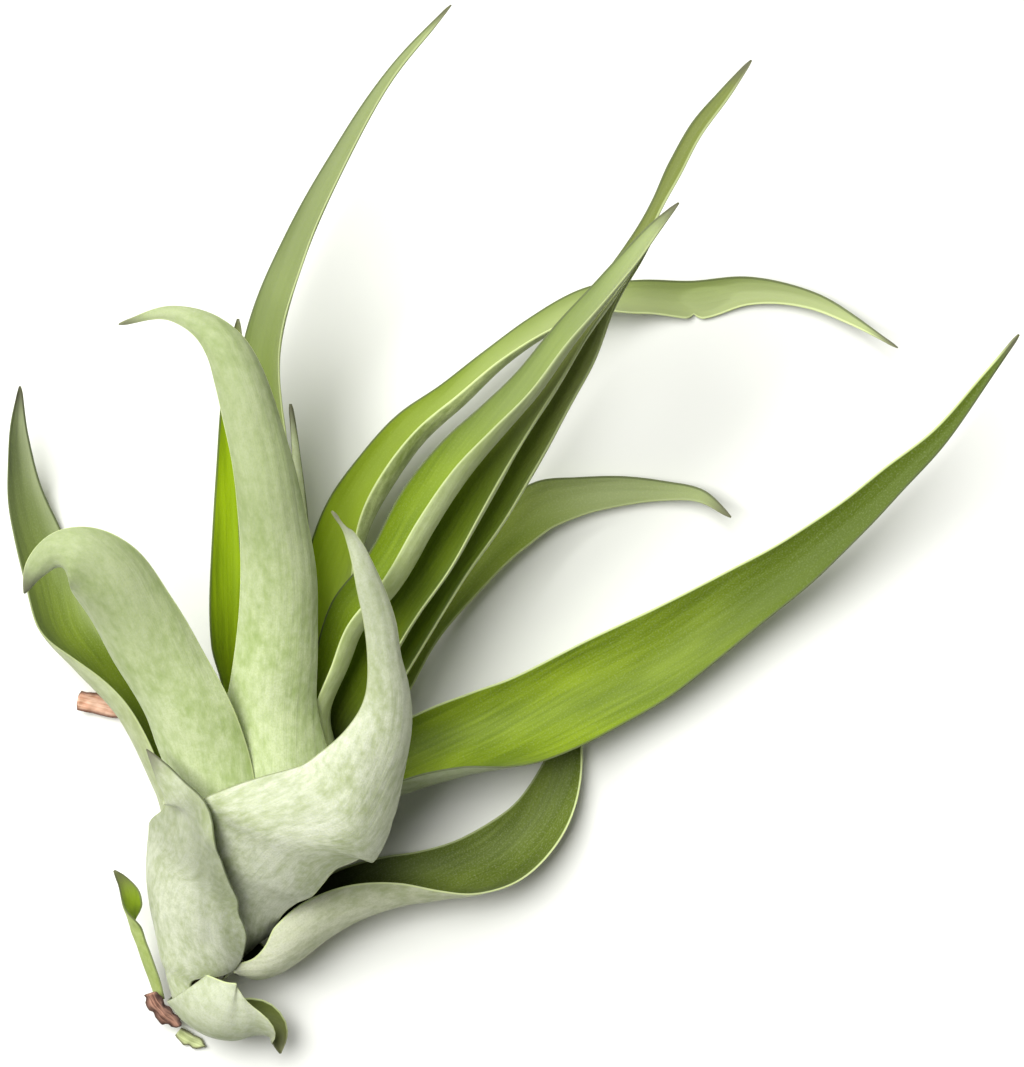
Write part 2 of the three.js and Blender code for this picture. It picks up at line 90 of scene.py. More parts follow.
STEM_LINE = np.array(
    [
        (-5.1, -33.6, 8.5),
        (-4.5, -24.1, 9.3),
        (-0.4, -12.7, 11),
        (4.6, -3.1, 14),
        (10, 6.5, 18.5),
        (15.2, 16.9, 23.5),
    ]
)

# ---- The camera: straight down, high over the plant ----

IMAGE_HEIGHT_PX = 1067
MM_PER_PX = 0.19  # on the floor
CAMERA_AT = (53.78, 56.34, 1200)
SENSOR = 36  # its height

# ---- What is round the plant, metres ----

CAMERA_REACH = 20
FLOOR_HALF = 3.0
FLOOR_HEIGHT = -0.00002  # just under the plant
PLANT_MIDDLE = (0.054, 0.056, 0.02)
KEY_AT = (-0.5, 0.42, 1.35)
KEY_SIZE = 1.1
KEY_POWER = 44  # watts
WORLD_STRENGTH = 0.13

# ---- The leaves, from the lowest and outermost to the youngest ----
#
# rank: its place in the spiral, 0 lowest. It sets where the leaf starts on the stem and its sheath's cone.
# sheath: rows of (height on the stem, first margin, last margin) and, where it isn't 0, how far the row
#   stands off its cone. A margin is an angle round the stem in degrees: 0 on top, 90 on the right, 180 on
#   the surface, -90 on the left.
# blade: rows of (x, y, z, width round the curve, where its back faces, curl). The back's angle is counted
#   like a margin's, and the curl is half the angle that the channel bends through.

LEAVES = [
    {
        "name": "leaf_01_foot_right",
        "rank": 0,
        "sheath": [],
        "blade": [
            (-10.2, -31.2, 12.8, 19.5, 60, 75),
            (-7, -35.4, 12.6, 26, 68, 88),
            (-2.4, -38.2, 12.2, 28.2, 74, 97),
            (1.8, -38.8, 11, 26.4, 83, 98),
            (5.2, -37.8, 10, 18, 103, 92),
            (7.8, -37.4, 9, 10.6, 128, 78),
            (9.5, -38.9, 8.4, 5, 155, 60),
            (10.1, -41.8, 8.2, 0.8, 180, 50),
        ],
    },
    {
        "name": "leaf_02_foot_left",
        "rank": 1,
        "sheath": [],
        "blade": [
            (-13.2, -31.6, 5, 3.6, -60, 35),
            (-14.1, -28.4, 6, 4, -57, 35),
            (-15.2, -25.1, 7.1, 4, -55, 35),
            (-16.4, -21.5, 8.2, 4, -58, 38),
            (-17.7, -18.2, 9.4, 5, -70, 60),
            (-18.3, -15.9, 10.2, 6, -100, 75),
            (-18.4, -13.6, 11, 5.6, -130, 65),
            (-18.5, -11.2, 11.9, 4.4, -150, 50),
            (-19.4, -9.1, 12.6, 2.6, -155, 42),
            (-20.9, -6.9, 13.6, 0.8, -155, 30),
        ],
    },
    {
        "name": "leaf_03_left_sheath",
        "rank": 2,
        "sheath": [
            (1.9, -140, -10, 1.6),
            (6.6, -150, -8, 0.4),
            (8.3, -150, 40, 0.5),
            (10, -150, 48, 0.5),
            (12.5, -145, 46, 0.6),
            (16.5, -135, 35, 1.1),
            (20, -122, 28, 1.2),
            (23.5, -106, 21, 0.9),
            (27, -90, 13, 0.5),
            (31, -69, 8, 0.3),
            (36, -53, 0, 0.2),
            (41, -43, -7),
            (46, -40, -14),
        ],
        "blade": [
            (-7.4, 7.9, 44, 7.5, -32, 25),
            (-10.4, 12.4, 43, 4.5, -38, 20),
            (-13.3, 16.7, 40.5, 0.8, -45, 15),
        ],
    },
    {
        "name": "leaf_04_right_low",
        "rank": 3,
        "sheath": [
            (6.5, 62, 185),
            (11, 62, 180),
        ],
        "blade": [
            (6.1, -27.4, 9.5, 16, 98, 70),
            (10.1, -26.1, 10, 22, 97, 82),
            (14.1, -23.6, 10, 28, 95, 89),
            (18.6, -20.1, 9.8, 29, 95, 90),
            (24.6, -16.3, 9.5, 27, 99, 88),
            (32.6, -13.1, 8, 22, 110, 82),
            (38.6, -11.6, 7, 19, 122, 72),
            (44.6, -9.6, 5.6, 17, 138, 60),
            (51.6, -6.1, 4, 16, 150, 50),
            (59.1, 1.4, 3, 13, 160, 45),
            (63.1, 10.4, 3, 9, 170, 40),
            (64.6, 18.9, 3.5, 5, 175, 35),
            (64.6, 26.9, 4, 0.8, 180, 30),
        ],
    },
    {
        "name": "leaf_05_front_right",
        "rank": 4,
        "sheath": [
            (8.5, -90, 100),
            (16, -80, 98),
            (20, -72, 80),
            (24, -65, 63, -0.6),
            (28.5, -55, 51, -0.8),
            (33.5, -45, 46, -0.4),
            (38.5, -38, 45),
            (43, -32, 41),
            (47, -28, 38),
            (51, -26, 42),
        ],
        "blade": [
            (23.6, 4.6, 46.5, 26, 20, 49),
            (28.6, 12.7, 46.4, 21, 30, 58),
            (31.1, 19.4, 47.6, 15.5, 28, 60),
            (31.9, 28.1, 49.4, 9.8, 22, 58),
            (31, 33.4, 51, 7.4, 15, 55),
            (30, 39.4, 53, 6.8, 10, 50),
            (28.4, 46.1, 55, 5.6, 10, 48),
            (26.9, 50.6, 56, 4.2, 10, 45),
            (25.2, 54.6, 56.4, 2.8, 10, 40),
            (23.6, 57.4, 56.4, 1.5, 10, 35),
            (21.1, 60.4, 56, 0.8, 10, 30),
        ],
    },
    {
        "name": "leaf_06_far_left",
        "rank": 5,
        "sheath": [
            (10.5, -200, -80),
            (16, -198, -86),
            (21, -195, -90, 1),
        ],
        "blade": [
            (-8.5, 3, 2.5, 25, -139, 52),
            (-13.4, 10.9, 7.5, 24, -118, 66),
            (-19.3, 21.8, 9.5, 22.5, -110, 67),
            (-26.5, 31, 7, 20, -122, 60),
            (-31.6, 37.6, 4, 16, -138, 54),
            (-34.3, 47, 0.8, 13, -152, 50),
            (-37.2, 57.2, 2, 10.2, -160, 45),
            (-39, 66.6, 6, 6.8, -160, 45),
            (-39.3, 74.9, 11, 4.2, -155, 45),
            (-38.4, 83.9, 17, 0.8, -155, 40),
        ],
    },
    {
        "name": "leaf_07_curled_left",
        "rank": 6,
        "sheath": [
            (12.5, -110, 60),
            (22, -100, 45),
            (30, -90, 28),
            (37, -82, 12, 1),
        ],
        "blade": [
            (-7.2, 18.4, 39.9, 24, -35, 61),
            (-12.3, 30.9, 46, 22, -28, 62),
            (-16.4, 39.9, 50, 20, -22, 62),
            (-21.1, 48.5, 54.3, 17.5, -15, 62),
            (-26, 52.4, 55.6, 12.6, -10, 58),
            (-30, 52.5, 53, 7.6, -10, 55),
            (-33.2, 49.4, 49.5, 4.6, -10, 50),
            (-35.4, 45.4, 45, 0.8, -10, 40),
        ],
    },
    {
        "name": "leaf_08_long_right",
        "rank": 7,
        "sheath": [
            (15, 20, 195),
            (24, 30, 180),
            (32, 50, 165),
            (39, 56, 160),
        ],
        "blade": [
            (26.6, 4.9, 11.6, 21, 115, 70),
            (35.1, 9.9, 11, 24, 125, 79),
            (42.6, 13.1, 10.2, 24.5, 135, 82),
            (50.6, 16.7, 9.3, 23, 150, 68),
            (58.6, 21.2, 8.5, 19.5, 168, 46),
            (67.6, 26.4, 8, 18.6, 178, 36),
            (78.1, 31.9, 8, 17.6, 180, 32),
            (97.6, 44.4, 10, 12.5, 180, 32),
            (108.6, 51.9, 12, 10, 180, 32),
            (117.6, 59.4, 14, 7.7, 180, 32),
            (125.6, 66.9, 16.5, 5.8, 180, 32),
            (133.6, 74.4, 19, 3.8, 180, 32),
            (142.1, 85.4, 23, 2, 180, 32),
            (148.1, 93.4, 25, 0.8, 180, 30),
        ],
    },
    {
        "name": "leaf_09_back_left",
        "rank": 8,
        "sheath": [
            (17, -205, -75),
            (28, -195, -80),
            (38, -185, -85),
            (46, -178, -90),
        ],
        "blade": [
            (3.1, 22.4, 7, 13, -150, 50),
            (2.9, 36.4, 10, 15, -165, 50),
            (2.9, 53.4, 12, 12.5, -180, 45),
            (2.6, 68.4, 15, 9.5, -180, 45),
            (2.1, 83.4, 18, 5.5, -180, 45),
            (2.6, 96.4, 21, 0.8, -180, 40),
        ],
    },
    {
        "name": "leaf_10_front_centre",
        "rank": 9,
        "sheath": [
            (19.5, -85, 80),
            (30, -75, 62),
            (40, -66, 58),
            (47, -62, 59),
        ],
        "blade": [
            (9.6, 25.4, 40.3, 19.5, 2, 60),
            (10.8, 36.4, 45, 18, 2, 60),
            (11.3, 47.9, 50, 16.5, 2, 60),
            (10.3, 58.9, 54, 14.8, 2, 60),
            (8.1, 71.4, 57.5, 12.6, 2, 60),
            (4.1, 85.4, 60, 11, 2, 60),
            (1.6, 90.4, 60, 9, 2, 60),
            (-2.4, 94.4, 58, 6, 2, 55),
            (-7.9, 96.4, 55, 3.2, 2, 50),
            (-17.9, 94.4, 49, 0.8, 2, 40),
        ],
    },
    {
        "name": "leaf_11_arching_right",
        "rank": 10,
        "sheath": [
            (22.5, 120, 245),
            (33, 125, 240),
            (42, 128, 235),
            (50, 130, 228),
        ],
        "blade": [
            (16.6, 25.4, 8, 13, 175, 50),
            (19.6, 37.4, 9.5, 15, 160, 62),
            (22.6, 49.4, 11, 17, 140, 75),
            (26.6, 59.4, 12.5, 18, 125, 85),
            (31.6, 67.4, 13.5, 17, 120, 88),
            (37.1, 74.4, 14, 15, 118, 88),
            (44.1, 80.9, 13.5, 12, 118, 85),
            (51.6, 87.9, 12, 9.5, 120, 80),
            (59.1, 93.9, 9.5, 8.5, 128, 70),
            (68.6, 99.4, 6.5, 7.5, 145, 60),
            (77.6, 100.9, 3, 7.5, 170, 50),
            (89.1, 100.7, -0.2, 8, 180, 40),
            (98.6, 102.4, 0.8, 6, 185, 45),
            (111.1, 100.4, 3, 3.5, 185, 45),
            (118.6, 96.4, 5.5, 2.2, 185, 45),
            (126.6, 91.4, 8, 0.8, 185, 40),
        ],
    },
    {
        "name": "leaf_12_low_right",
        "rank": 11,
        "sheath": [
            (25.5, 90, 190),
            (36, 90, 185),
            (46, 92, 175),
        ],
        "blade": [
            (24.9, 16.4, 13, 11.5, 145, 58),
            (31.1, 26.9, 12, 10, 155, 55),
            (36.6, 37.4, 10, 9.5, 162, 50),
            (44.6, 47.9, 7.5, 10.5, 165, 45),
            (53.1, 56.7, 5.3, 10.5, 170, 42),
            (60.1, 61.7, 4, 10, 175, 40),
            (66.6, 63.4, 3, 8, 180, 40),
            (75.1, 64.4, 2.5, 6, 180, 40),
            (82.6, 64.4, 3, 4.2, 180, 40),
            (89.6, 63.4, 5, 2.6, 180, 40),
            (95.1, 59.4, 8, 0.8, 180, 40),
        ],
    },
    {
        "name": "leaf_13_tall_back",
        "rank": 12,
        "sheath": [
            (28.5, 165, 275),
            (38, 170, 270),
            (46, 175, 262),
            (53, 182, 255),
        ],
        "blade": [
            (11.1, 27.4, 13, 13, 200, 60),
            (9.1, 43.9, 17, 12.5, 185, 55),
            (8.1, 68.4, 20, 12, 165, 50),
            (8.6, 91.4, 23, 10.5, 145, 60),
            (14.6, 109.9, 25, 7.8, 142, 60),
            (22.6, 126.4, 28, 5, 142, 60),
            (32.1, 141.9, 31, 2.8, 142, 55),
            (42.6, 153.9, 34, 0.8, 142, 50),
        ],
    },
    {
        "name": "leaf_14_bundle_back",
        "rank": 13,
        "sheath": [
            (32, 75, 190),
            (42, 78, 185, 0.3),
            (50, 80, 182, 0.8),
        ],
        "blade": [
            (23.3, 15.3, 14.7, 14, 135, 58),
            (28.8, 26, 17.6, 13.7, 140, 60),
            (35.1, 36.4, 20, 14, 140, 60),
            (43.1, 49.4, 22.5, 13.5, 140, 60),
            (52.6, 62.9, 25.5, 12.5, 140, 60),
            (60.6, 76.4, 28.5, 10.5, 140, 60),
            (67.1, 87.9, 31.5, 8, 140, 60),
            (72.1, 98.9, 33.5, 5.5, 140, 55),
            (77.6, 107.9, 35, 3, 140, 50),
            (80.1, 111.4, 36, 0.8, 140, 45),
        ],
    },
    {
        "name": "leaf_15_bundle_long",
        "rank": 14,
        "sheath": [
            (35.5, 60, 170),
            (45, 62, 168),
            (52, 65, 166, 0.4),
        ],
        "blade": [
            (21.9, 18.9, 19.7, 14.3, 125, 60),
            (27.1, 28.4, 23, 14.2, 132, 60),
            (32.6, 38.9, 26.5, 14.5, 135, 60),
            (40.6, 50.9, 30, 14.5, 135, 60),
            (47.1, 61.4, 32.5, 13.5, 135, 60),
            (53.6, 72.9, 35, 12, 135, 60),
            (60.1, 82.9, 37, 10.5, 135, 60),
            (66.1, 92.4, 38.5, 9, 135, 60),
            (71.6, 99.9, 39.5, 7, 135, 60),
            (76.6, 108.4, 40, 4.8, 145, 60),
            (80.9, 117.4, 41, 2.8, 158, 55),
            (84.2, 123.9, 42, 3.5, 165, 50),
            (87.8, 130.4, 43, 3.4, 165, 50),
            (92.9, 136.9, 44, 2.4, 165, 45),
            (97.6, 142.9, 45, 0.8, 165, 40),
        ],
    },
    {
        "name": "leaf_16_bundle_front",
        "rank": 15,
        "sheath": [
            (39.5, 30, 130),
            (48, 32, 126, -0.3),
            (54, 35, 122, -0.6),
        ],
        "blade": [
            (19.9, 23.9, 28, 12.5, 97, 70),
            (23.1, 32.4, 31, 15, 113, 85),
            (26.1, 39.9, 34, 16, 118, 88),
            (32.1, 46.4, 36.5, 17.5, 118, 90),
            (39.6, 58.9, 40, 18.5, 118, 90),
            (46.1, 68.4, 42.5, 16.5, 118, 90),
            (52.1, 75.4, 44.5, 13.5, 120, 87),
            (57.6, 81.9, 46, 11.3, 122, 80),
            (65.6, 92.9, 48.5, 9, 125, 75),
            (71.6, 100.4, 50, 7, 130, 70),
            (76.1, 106.4, 51, 5, 140, 65),
            (80.1, 111.9, 52, 3, 150, 60),
            (84.1, 116.4, 53, 0.8, 160, 50),
        ],
    },
    {
        "name": "leaf_17_innermost",
        "rank": 16,
        "sheath": [
            (43.5, -80, 10),
            (50, -75, 10),
            (56, -70, 10),
        ],
        "blade": [
            (13.1, 34.4, 28, 7, -15, 50),
            (14, 51.4, 27, 5, -5, 45),
            (14.2, 62.4, 26.5, 2.8, 0, 45),
            (13.6, 71.9, 26.5, 1.8, 0, 45),
            (12.6, 80.4, 27, 0.8, 0, 40),
        ],
    },
]

SCRAPS = [
    {
        "name": "dry_scrap_left",
        "sheath": [],
        "blade": [
            (-17.5, 21.6, 1, 3.6, 180, 20),
            (-21.5, 23.2, 1.3, 4, 180, 20),
            (-25.4, 24.2, 1.8, 4.2, 176, 20),
            (-28.6, 24.9, 2.6, 4, 172, 20),
        ],
    },
    {
        "name": "foot_scale_brown",
        "sheath": [],
        "blade": [
            (-14.2, -30.4, 8, 4, -140, 25),
            (-12.9, -32.8, 7, 5, -138, 30),
            (-11, -35, 5.6, 5, -138, 30),
            (-9.3, -36.9, 4, 3, -140, 25),
        ],
    },
    {
        "name": "foot_frayed_strip",
        "sheath": [],
        "blade": [
            (-9.6, -38.2, 0.9, 2, 178, 25),
            (-7.8, -39.6, 0.8, 3, 180, 30),
            (-5.9, -40.4, 0.8, 2.4, 182, 30),
            (-4.4, -41, 0.9, 1, 182, 25),
        ],
    },
]

# How each leaf and scrap differs from a plain one. Where one margin is meant, it is -1 for the first and 1
# for the last.
# material: which of the materials it has.
# wave: how far its margins wave.
# ragged: how far its margins are eaten away, as a share of its width.
# tip: over what length its outline closes at the tip.
# rims: how pale its margins are, as (at the base, at the tip) for the first and for the last. 1 is the
# margin's
#   own pale line, where it faces up, 0 painted shade, a dark line where it turns away or lies against
#   another leaf.
# shade: from where to where along it the painted shade of the rosette's hollow clears from its inner face.
# fade: from where to where along it its inner face turns to the colour that it has at the tip.
# glow: painted light, how its inner face pales towards a margin as if lit there, as (which one, reach,
#   strength at the base, at the tip).
# dull: how dull it is, as (at the base, at the tip, from where, to where along it).
# creases: folds seen from above, as (points, depth, width, how dark the painted shade in them is).
# nicks: notches in a margin as (x, y, which margin, depth, reach).
PALE_RIMS = ((1, 1), (1, 1))
FACE_RIMS = ((1, 0.5), (0.1, 0.1))
BUNDLE_LOOK = {
    "material": "bundle",
    "rims": FACE_RIMS,
    "shade": (20, 42),
    "fade": (70, 115),
    "dull": (0, 0.25, 75, 115),
}
LOOKS = {
    "leaf_01_foot_right": {"material": "pale", "shade": (14, 30), "dull": (0.3, 0, 16, 26)},
    "leaf_02_foot_left": {
        "material": "bright",
        "shade": (2, 6),
        "rims": ((0.6, 0.2), (0.3, 0)),
        "dull": (0.3, 0.1, 6, 16),
    },
    "leaf_03_left_sheath": {
        "material": "pale",
        "rims": ((0.4, 0.4), (0.25, 0)),
        "dull": (0, 0.35, 22, 42),
        "creases": [
            ([(-4.2, 5.6), (-3.8, -2.6), (-3.2, -9.6), (-2.8, -19)], 0.55, 2.2, 0.22),
            ([(-2.4, -2.5), (-0.6, -9.5), (0.6, -19)], 0, 4, 0.28),
        ],
    },
    "leaf_04_right_low": {"material": "wall", "shade": (26, 50), "rims": ((1, 1), (1, 0.3))},
    "leaf_05_front_right": {
        "material": "pale",
        "rims": ((0, 0.7), (1, 1)),
        "dull": (0, 0.45, 60, 110),
        "nicks": [(29.2, 6.2, 1, 0.9, 0.8), (24.2, 58.6, 1, 1, 1.2)],
    },
    "leaf_06_far_left": {
        "material": "far",
        "rims": ((0.2, 0), (1, 0)),
        "fade": (55, 110),
        "painted_glow": (-1, 2.2, 0, 0.55),
    },
    "leaf_07_curled_left": {"material": "tinted", "dull": (0, 0.5, 46, 80)},
    "leaf_08_long_right": {
        "material": "fresh",
        "rims": ((0.1, 0.1), (1, 1)),
        "shade": (16, 62),
        "fade": (70, 140),
    },
    "leaf_09_back_left": {"material": "bright", "rims": FACE_RIMS},
    "leaf_10_front_centre": {"material": "tinted", "dull": (0.02, 0.5, 58, 92)},
    "leaf_11_arching_right": {
        "material": "arching",
        "rims": ((1, 1), (0.1, 0.1)),
        "shade": (16, 40),
        "fade": (50, 90),
        "painted_glow": (-1, 6.5, 0.8, 0.95),
        "dull": (0, 0.4, 90, 135),
        "nicks": [(87.6, 99.5, -1, 1.1, 0.8)],
    },
    "leaf_12_low_right": {"material": "low", "rims": FACE_RIMS, "shade": (10, 30), "fade": (80, 108)},
    "leaf_13_tall_back": {
        "material": "tall",
        "rims": FACE_RIMS,
        "shade": (10, 30),
        "painted_glow": (-1, 3.4, 0.4, 0.6),
        "fade": (60, 150),
        "dull": (0, 0.55, 70, 115),
    },
    "leaf_14_bundle_back": BUNDLE_LOOK,
    "leaf_15_bundle_long": BUNDLE_LOOK,
    "leaf_16_bundle_front": {
        "material": "bundle",
        "rims": FACE_RIMS,
        "shade": (10, 24),
        "painted_glow": (-1, 5, 0.5, 0.7),
        "dull": (0, 0.5, 70, 105),
    },
    "leaf_17_innermost": {"material": "olive", "rims": ((0, 0), (0.3, 0))},
    "dry_scrap_left": {"material": "tan", "wave": 0.3, "ragged": 0.1, "tip": 0.2},
    "foot_scale_brown": {"material": "brown", "wave": 0.3, "ragged": 0.22},
    "foot_frayed_strip": {"material": "green", "wave": 0.3, "ragged": 0.3},
}


# ---- Curves ----


def slopes_of(places, values, limited):
    """Slopes of a smooth curve through values at places. A limited one never swings past the values."""
    steps = np.diff(values, axis=0) / np.diff(places).reshape((-1,) + (1,) * (values.ndim - 1))
    slopes = np.empty_like(values)
    slopes[0] = steps[0]
    slopes[-1] = steps[-1]
    for i in range(1, len(values) - 1):
        before = places[i] - places[i - 1]
        after = places[i + 1] - places[i]
        slope = (steps[i - 1] * after + steps[i] * before) / (before + after)
        if limited:
            most = 2 * np.minimum(abs(steps[i - 1]), abs(steps[i]))
            slope = np.sign(slope) * np.minimum(abs(slope), most)
            slope = np.where(steps[i - 1] * steps[i] <= 0, 0, slope)
        slopes[i] = slope
    return slopes


def curve_through(places, values, limited=False):
    """A function of the place along a leaf, a cubic between each two of values."""
    values = np.asarray(values, float)
    slopes = slopes_of(places, values, limited)

    def value(at):
        at = np.atleast_1d(at)
        i = np.clip(np.searchsorted(places, at) - 1, 0, len(places) - 2)
        shape = (-1,) + (1,) * (values.ndim - 1)
        span = (places[i + 1] - places[i]).reshape(shape)
        t = (at - places[i]).reshape(shape) / span
        rise = values[i + 1] - values[i]
        a = slopes[i] * span - rise
        b = rise - slopes[i + 1] * span
        return values[i] + t * rise + t * (1 - t) * (a * (1 - t) + b * t)

    return value


def unit(vectors):
    return vectors / np.linalg.norm(vectors, axis=-1, keepdims=True)


def stem_samples(steps=80):
    """Points on the stem's line, a centripetal Catmull-Rom curve, and their distances along it."""
    first = 2 * STEM_LINE[0] - STEM_LINE[1]
    last = 2 * STEM_LINE[-1] - STEM_LINE[-2]
    line = [first, *STEM_LINE, last]
    points = []
    for i in range(1, len(line) - 2):
        p0, p1, p2, p3 = line[i - 1 : i + 3]
        d0, d1, d2 = (np.linalg.norm(b - a) ** 0.5 for a, b in ((p0, p1), (p1, p2), (p2, p3)))
        t1 = ((p1 - p0) / d0 - (p2 - p0) / (d0 + d1) + (p2 - p1) / d1) * d1
        t2 = ((p2 - p1) / d1 - (p3 - p1) / (d1 + d2) + (p3 - p2) / d2) * d1
        t = np.linspace(0, 1, steps, endpoint=False)[:, None]
        cubic = (2 * p1 - 2 * p2 + t1 + t2) * t**3 + (3 * p2 - 3 * p1 - 2 * t1 - t2) * t**2
        points.append(cubic + t1 * t + p1)
    points = np.vstack([*points, STEM_LINE[-1]])
    distances = np.concatenate([[0], np.cumsum(np.linalg.norm(np.diff(points, axis=0), axis=1))])
    return points, distances


STEM_POINTS, STEM_DISTANCES = stem_samples()


def stem_point(height):
    """The stem's centre and direction at a height along it, which may lie past its line's end."""
    i = int(np.clip(np.searchsorted(STEM_DISTANCES, height) - 1, 0, len(STEM_DISTANCES) - 2))
    tangent = unit(STEM_POINTS[i + 1] - STEM_POINTS[i])
    return STEM_POINTS[i] + tangent * (height - STEM_DISTANCES[i]), tangent


def direction_at(degrees, tangent):
    """The direction at an angle round a line: 0 up, 90 to the right of travel."""
    top = unit(np.array([0, 0, 1]) - tangent * tangent[2])
    right = np.cross(tangent, top)
    angle = math.radians(degrees)
    return top * math.cos(angle) + right * math.sin(angle)


def sheath_slope(rank):
    return OUTER_SLOPE - SLOPE_STEP * rank


def root_height(rank):
    """Where on the stem the cone of a sheath starts."""
    return sum(SHEATH_STEP / sheath_slope(lower) for lower in range(rank))


# ---- A leaf's surface ----


def sheath_section(rank, height, first, last, off=0):
    """A sheath's midrib, its back's direction, travel, half width and half angle at a height on the stem."""
    centre, tangent = stem_point(height)
    radius = ROOT_RADIUS + sheath_slope(rank) * (height - root_height(rank)) + off
    back = direction_at((first + last) / 2, tangent)
    half = radius * math.radians(last - first) / 2
    return centre + back * radius, back, tangent, half, half / radius


def blade_travel(midrib, at, end, probe=0.5):
    """The direction of the midrib at a place along the leaf."""
    return unit(midrib(min(at + probe, end)) - midrib(max(at - probe, 0)))[0]


def sections_of(leaf, step):
    """Fine cross-sections: distance along, midrib, back's direction, travel, half width and half angle."""
    sheath = [sheath_section(leaf["rank"], *row) for row in leaf["sheath"]]
    points = np.array([s[0] for s in sheath] + [row[:3] for row in leaf["blade"]], float)
    places = np.concatenate([[0], np.cumsum(np.linalg.norm(np.diff(points, axis=0), axis=1))])
    midrib = curve_through(places, points)
    backs = [s[1] for s in sheath]
    travels = [s[2] for s in sheath]
    halves = [s[3] for s in sheath]
    turns = [s[4] for s in sheath]
    for (*_, width, facing, curl), at in zip(leaf["blade"], places[len(sheath) :]):
        travel = blade_travel(midrib, at, places[-1])
        backs.append(direction_at(facing, travel))
        travels.append(travel)
        halves.append(width / 2)
        turns.append(math.radians(curl))
    along = np.linspace(0, places[-1], max(LEAST_ROWS, round(places[-1] / step)) + 1)
    travel = unit(curve_through(places, travels)(along))
    back = curve_through(places, backs)(along)
    outward = unit(back - travel * np.sum(back * travel, axis=1, keepdims=True))
    half = curve_through(places, halves, True)(along)
    turn = curve_through(places, turns, True)(along)
    return along, midrib(along), outward, travel, half, turn


def ripples(seed, along, across, length, width, waves=7):
    """A smooth random field of height about 1, with hollows and swells of that length and width."""
    rng = np.random.default_rng(seed)
    total = np.zeros(np.broadcast(along, across).shape)
    for _ in range(waves):
        cycles_along = rng.uniform(0.5, 1.4) / length
        cycles_across = rng.uniform(-1.2, 1.2) / width
        phase = rng.uniform(0, 2 * math.pi)
        total = total + np.sin(2 * math.pi * (along * cycles_along + across * cycles_across) + phase)
    return total / math.sqrt(waves)


def smooth_step(low, high, values):
    t = np.clip((values - low) / (high - low), 0, 1)
    return t * t * (3 - 2 * t)


def between(ends, share):
    """What lies at a share of the way from the first of two ends to the second."""
    return ends[0] + (ends[1] - ends[0]) * share


def polyline_distance(points, line):
    """How far points, seen from above, lie from a line, with its ends rounded off."""
    nearest = np.full(points.shape[:-1], np.inf)
    for a, b in zip(np.array(line[:-1], float), np.array(line[1:], float)):
        span = b - a
        share = np.clip(((points - a) @ span) / (span @ span), 0, 1)
        nearest = np.minimum(nearest, np.linalg.norm(points - a - share[..., None] * span, axis=-1))
    return nearest


def nicked(u, midrib, along, half, nicks):
    """The places across a leaf, pulled in from a margin where it is nicked."""
    for x, y, which, depth, reach in nicks:
        at = along[np.argmin(np.linalg.norm(midrib[:, :2] - (x, y), axis=1))]
        bite = depth * np.exp(-(((along - at) / reach) ** 2))[:, None] / half
        u = np.where(u * which > 0, u * (1 - bite * abs(u)), u)
    return u


def creased(middle, direction, creases):
    """The sheet with folds pressed into the parts that face up, and how dark the painted shade in the folds
    makes each point.
    """
    dark = np.zeros(middle.shape[:2])
    for line, depth, width, darkness in creases:
        near = np.exp(-((polyline_distance(middle[:, :, :2], line) / width) ** 2))
        fold = near * (direction[:, :, 2] > 0)
        middle = middle - (depth * fold)[:, :, None] * direction
        dark = np.maximum(dark, darkness * fold**2)
    return middle, dark


def shading_of(look, along, half, u):
    """What the material reads of a leaf's look at each place along and across it: rims, painted shade in the
    hollow, fading, painted light near a margin and dullness.
    """
    length = along[-1]
    share = (along / length)[:, None]
    first, last = look.get("rims", PALE_RIMS)
    which, reach, *strengths = look.get("painted_glow", (1, 1, 0, 0))
    dull_base, dull_tip, *dull_span = look.get("dull", (0, 0, 0, 1))
    return {
        "rim": np.where(u < 0, between(first, share), between(last, share)),
        "shade": 1 - smooth_step(*look.get("shade", (5, 12)), along)[:, None],
        "fade": smooth_step(*look.get("fade", (length, length + 1)), along)[:, None],
        "painted_glow": between(strengths, share) * np.exp(-((half * (1 - which * u) / reach) ** 2)),
        "dull": between((dull_base, dull_tip), smooth_step(*dull_span, along)[:, None]),
    }


